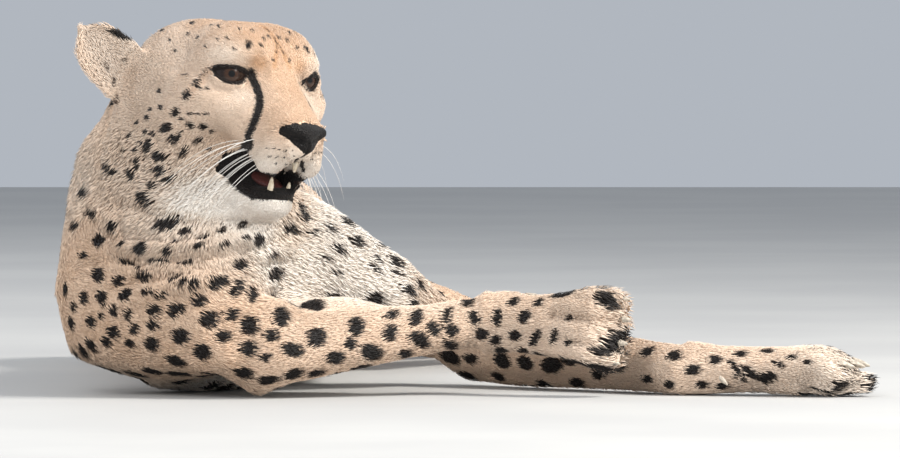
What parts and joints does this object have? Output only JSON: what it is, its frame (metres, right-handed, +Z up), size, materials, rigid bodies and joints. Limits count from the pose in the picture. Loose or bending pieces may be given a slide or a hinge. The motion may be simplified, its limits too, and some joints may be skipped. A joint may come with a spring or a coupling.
{
  "type": "lying cheetah, life-size still model",
  "caption": "Life-size still model of a cheetah lying down with raised head, open mouth and forelegs stretched to one side.",
  "frame": {"origin": "centre of the bounding box at floor level", "axes": "+Z up from the floor, +Y from the chest towards the tail, +X the way the forelegs reach"},
  "size_m": [0.6594, 1.0568, 0.2974],
  "materials": {
    "coat": "short spotted fur",
    "pale_coat": "short pale fur",
    "nose_skin": "moist grained skin",
    "eye": "wet gloss",
    "tooth": "semi-gloss",
    "tongue": "moist",
    "horn": "semi-gloss horn"
  },
  "bodies": {
    "root": {"head": "coat", "lower_jaw": "pale_coat", "nose": "nose_skin", "right_eye": "eye", "left_eye": "eye", "right_ear": "coat", "left_ear": "coat", "upper_right_canine": "tooth", "upper_left_canine": "tooth", "lower_right_canine": "tooth", "lower_left_canine": "tooth", "tongue": "tongue", "right_fore_lower_leg": "coat", "right_fore_paw": "coat", "right_hind_lower_leg": "coat", "right_hind_paw": "coat", "left_fore_lower_leg": "coat", "left_fore_paw": "coat", "left_hind_lower_leg": "coat", "left_hind_paw": "coat", "right_fore_claw_1": "horn", "right_fore_claw_2": "horn", "right_fore_claw_3": "horn", "right_fore_claw_4": "horn", "right_fore_dewclaw": "horn", "left_fore_claw_1": "horn", "left_fore_claw_2": "horn", "left_fore_claw_3": "horn", "left_fore_claw_4": "horn", "left_fore_dewclaw": "horn", "right_hind_claw_1": "horn", "right_hind_claw_2": "horn", "right_hind_claw_3": "horn", "right_hind_claw_4": "horn", "left_hind_claw_1": "horn", "left_hind_claw_2": "horn", "left_hind_claw_3": "horn", "left_hind_claw_4": "horn", "right_fore_upper_leg": "coat", "left_fore_upper_leg": "coat", "right_hind_upper_leg": "coat", "left_hind_upper_leg": "coat", "neck": "coat", "chest": "coat", "belly": "coat", "hindquarters": "coat", "tail_tip": "coat", "tail_middle": "coat", "tail_base": "coat"}
  },
  "joints": []
}
